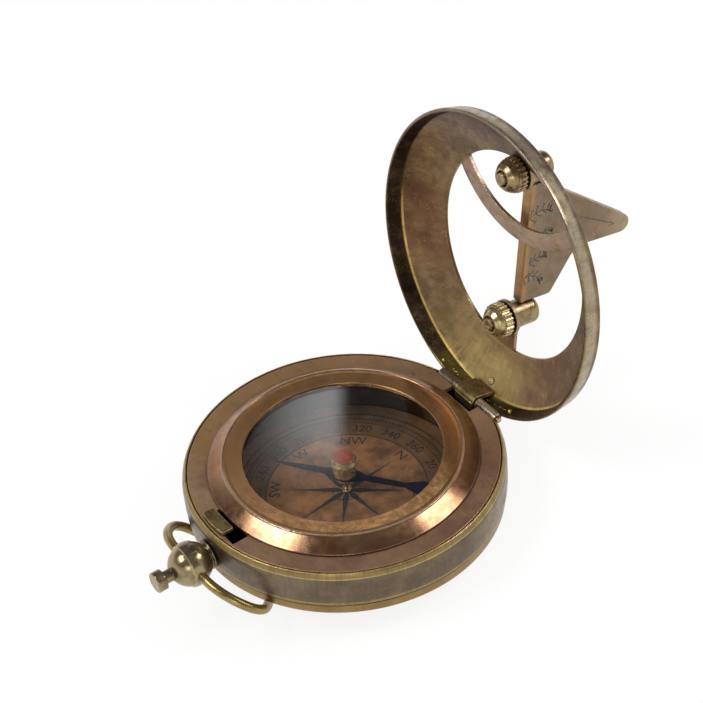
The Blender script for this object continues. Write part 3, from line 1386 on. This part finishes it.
    def spray(self, y, h, lean, size):
        """A bent stem with forked twigs on both sides and a small curl at its end."""
        stem = [(y + size * 2.4 * t * math.cos(lean) + size * 0.3 * math.sin(6 * t),
                 h + size * 2.4 * t * math.sin(lean) + size * 0.3 * math.cos(6 * t))
                for t in (k / 12 - 0.5 for k in range(13))]
        lines = [stem, self.scroll(*stem[-1], 0.45 * size, lean - 1, 1)]
        for k in range(0, 12, 2):
            for side in (1, -1):
                turn = lean + side * 1.2
                length = (0.85 - 0.05 * k) * size
                path = [self.step(stem[k], turn - 0.35 * side * t, length * t) for t in (0, 0.4, 0.75, 1)]
                lines += [path, [path[2], self.step(path[2], turn + 0.6 * side, 0.35 * length)]]
        return lines

    def step(self, start, turn, length):
        """The point this far from start, in a direction."""
        return start[0] + length * math.cos(turn), start[1] + length * math.sin(turn)

    def scroll(self, y, h, size, turn, hand):
        """A curl that winds to one hand."""
        return [
            (y + size * t * math.cos(turn + hand * 4.2 * t), h + size * t * math.sin(turn + hand * 4.2 * t))
            for t in (k / 14 for k in range(3, 15))
        ]

    def stroke(self, line, face, place):
        """A thin inlaid stroke that tapers at its ends and stands just proud of the plate."""
        mesh = bmesh.new()
        path = [Vector(p) for p in line]
        low, high = face - 0.012, face + 0.012
        rings = []
        for k, point in enumerate(path):
            along = (path[min(k + 1, len(path) - 1)] - path[max(k - 1, 0)]).normalized()
            half_width = 0.045 + 0.045 * math.sin(math.pi * k / (len(path) - 1))
            across = Vector((-along.y, along.x)) * half_width
            a, b = point - across, point + across
            rings.append([mesh.verts.new(p) for p in ((*a, low), (*b, low), (*b, high), (*a, high))])
        skinned(mesh, rings)
        return made("stroke", mesh, place)


class DressFrame(CompassOperator, bpy.types.Operator):
    """Give the carried-over pieces their finishes"""

    bl_idname = "compass.dress_frame"
    bl_label = "Carried-over pieces"

    def execute(self, context):
        kept = {
            "compass_bowl": "bowl", "pivot_pin": "bright", "crystal_ring": "bright",
            "catch_lever": "strap", "lift_spring": "steel", "spring_screws": "bright",
            "lid_knuckle": "strap",
        }
        for name, key in kept.items():
            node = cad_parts[name]
            if not node.material_slots:
                node.data.materials.append(None)
            for slot in node.material_slots:
                slot.material = finish_of(key)
        return {"FINISHED"}


# How bright the floor and the sky are to the camera and the object, where 1 is white
FLOOR_GLOW = 0.86
SKY_LIGHT = 0.75
TENT_TOP = 0.1
OPENING_LIGHT = 2.05

# The camera of the photograph, 353 mm away and 40.5 degrees above the horizon
CAMERA_AT = Vector((221.05, -131.68, 249.53))
CAMERA_RIGHT = Vector((0.5736, 0.8157, -0.0754))
CAMERA_DOWN = Vector((0.4996, -0.4213, -0.7569))
LAMP_AIM = Vector((0, 5, 12))


class MakeStage(CompassOperator, bpy.types.Operator):
    """Lay the floor, hang the lamps and place the camera"""

    bl_idname = "compass.make_stage"
    bl_label = "Stage"

    def execute(self, context):
        self.floor()
        self.sky(context.scene)
        self.lamps()
        self.camera(context.scene)
        context.scene.view_settings.view_transform = "Standard"
        return {"FINISHED"}

    def floor(self):
        """The case leans on its back edge and on the folded bow, so the floor tilts to both."""
        back = Vector((0, 23.7, 0.25)) * MM
        bow = bpy.data.objects["bow_wire"].data.vertices
        tilt = max(math.atan2(back.z - v.co.z, back.y - v.co.y) for v in bow if v.co.z < 0)
        place = (
            Matrix.Translation(back / MM)
            @ Matrix.Rotation(tilt, 4, "X")
            @ Matrix.Translation((0, 0, -0.02))
        )
        mesh = bmesh.new()
        bmesh.ops.create_grid(mesh, x_segments=1, y_segments=1, size=1500)
        obj = made("floor", mesh, place)
        if obj.data.polygons[0].normal.z < 0:
            obj.data.flip_normals()
        material, tree, shader = blank("painted_board")
        shader.inputs["Base Color"].default_value = srgb("#f2f2f0")
        shader.inputs["Roughness"].default_value = 0.8
        glow = add(tree, "ShaderNodeEmission", {"Color": (1, 1, 1, 1), "Strength": 1.0})
        seen = self.rays(tree, "Camera", "Glossy", "Transmission")
        share = add(tree, "ShaderNodeMath", {0: seen, 1: FLOOR_GLOW}, operation="MULTIPLY").outputs[0]
        both = add(tree, "ShaderNodeMixShader", {0: share, 1: shader.outputs[0], 2: glow.outputs[0]})
        tree.links.new(both.outputs[0], tree.nodes["Material Output"].inputs["Surface"])
        obj.data.materials.append(material)

    def rays(self, tree, *kinds):
        """One for the named kinds of ray, and zero for all others."""
        path = add(tree, "ShaderNodeLightPath").outputs
        share = 0.0
        for kind in kinds:
            share = add(tree, "ShaderNodeMath", {0: share, 1: path["Is %s Ray" % kind]},
                        operation="MAXIMUM").outputs[0]
        return share

    def sky(self, scene):
        """White all round, as in a light tent. Metal and glass see its black top overhead."""
        world = bpy.data.worlds.new("studio")
        scene.world = world
        world.use_nodes = True
        tree = world.node_tree
        seen = self.rays(tree, "Camera", "Glossy", "Transmission")
        white = add(tree, "ShaderNodeMapRange", {
            "Value": seen, "To Min": SKY_LIGHT, "To Max": 1.0,
        }).outputs[0]
        ray = add(tree, "ShaderNodeTexCoord").outputs["Generated"]
        height = add(tree, "ShaderNodeSeparateXYZ", {0: ray}).outputs["Z"]
        dusk = add(tree, "ShaderNodeMapRange", {
            "Value": height, "From Min": 0.12, "From Max": 0.52, "To Min": 1.0, "To Max": TENT_TOP,
        }, interpolation_type="SMOOTHSTEP").outputs[0]
        # The dark top has a small soft opening, which leaves a grey patch in the glass
        slant = add(tree, "ShaderNodeVectorMath", {0: ray, 1: (0, 1, 0.6)}, operation="DOT_PRODUCT")
        opening = within(tree, {"slant": slant.outputs["Value"], "height": height}, (
            ("slant", 0.7865, 0.7785), ("slant", 0.742, 0.779), ("height", 0.695, 0.668),
        ), 1)
        tent = add(tree, "ShaderNodeMath", {0: opening, 1: OPENING_LIGHT, 2: dusk},
                   operation="MULTIPLY_ADD").outputs[0]
        mirrored = self.rays(tree, "Glossy", "Transmission")
        either = add(tree, "ShaderNodeMix", {0: mirrored, 2: white, 3: tent})
        light = tree.nodes["Background"]
        light.inputs["Color"].default_value = (1, 1, 1, 1)
        tree.links.new(either.outputs[0], light.inputs["Strength"])

    def lamps(self):
        """Soft boxes: one in front on the left, one behind on the right, a weak one near the camera."""
        for name, at, wide, tall, power in (
            ("front_left", (-88, -232, 312), 180, 120, 0.62),
            ("back_right", (140, 232, 292), 150, 110, 0.5),
            ("front", (300, -260, 190), 160, 120, 0.2),
        ):
            lamp = bpy.data.lights.new(name, "AREA")
            lamp.shape = "RECTANGLE"
            lamp.size = wide * MM
            lamp.size_y = tall * MM
            lamp.energy = power
            obj = bpy.data.objects.new(name, lamp)
            bpy.context.scene.collection.objects.link(obj)
            obj.location = Vector(at) * MM
            obj.rotation_mode = "QUATERNION"
            obj.rotation_quaternion = (Vector(at) - LAMP_AIM).to_track_quat("Z", "Y")

    def camera(self, scene):
        """Sets up the camera, which looks across its right and down."""
        data = bpy.data.cameras.new("camera")
        data.sensor_width = 36
        data.lens = sizes().lens
        data.clip_start, data.clip_end = 0.01, 10
        obj = bpy.data.objects.new("camera", data)
        scene.collection.objects.link(obj)
        forward = CAMERA_RIGHT.cross(CAMERA_DOWN)
        turn = Matrix((CAMERA_RIGHT, -CAMERA_DOWN, -forward)).transposed().to_4x4()
        obj.matrix_world = Matrix.Translation(CAMERA_AT * MM) @ turn
        scene.camera = obj


OPERATORS = (MakeCase, MakeBezel, MakeDial, MakeNeedle, MakePendant, MakeHinge, MakeLid, MakeSundial,
             DressFrame, MakeStage)


class CompassPanel(bpy.types.Panel):
    """Lists the steps that dress the compass."""

    bl_idname = "VIEW3D_PT_compass"
    bl_label = "Pocket sundial compass"
    bl_space_type = "VIEW_3D"
    bl_region_type = "UI"
    bl_category = "Compass"

    def draw(self, context):
        layout = self.layout
        for settings in (context.scene.compass_sizes, context.scene.compass_colours):
            box = layout.box()
            for key in settings.bl_rna.properties.keys():
                if key not in ("rna_type", "name"):
                    box.prop(settings, key)
        for operator in OPERATORS:
            layout.operator(operator.bl_idname)


CLASSES = (CompassColours, CompassSizes) + OPERATORS + (CompassPanel,)


def register():
    for item in CLASSES:
        bpy.utils.register_class(item)
    bpy.types.Scene.compass_colours = bpy.props.PointerProperty(type=CompassColours)
    bpy.types.Scene.compass_sizes = bpy.props.PointerProperty(type=CompassSizes)


def unregister():
    del bpy.types.Scene.compass_sizes
    del bpy.types.Scene.compass_colours
    for item in reversed(CLASSES):
        bpy.utils.unregister_class(item)


def main():
    """Runs every step in order."""
    register()
    for operator in OPERATORS:
        group_name, step = operator.bl_idname.split(".")
        getattr(getattr(bpy.ops, group_name), step)()


if __name__ == "__main__":
    main()
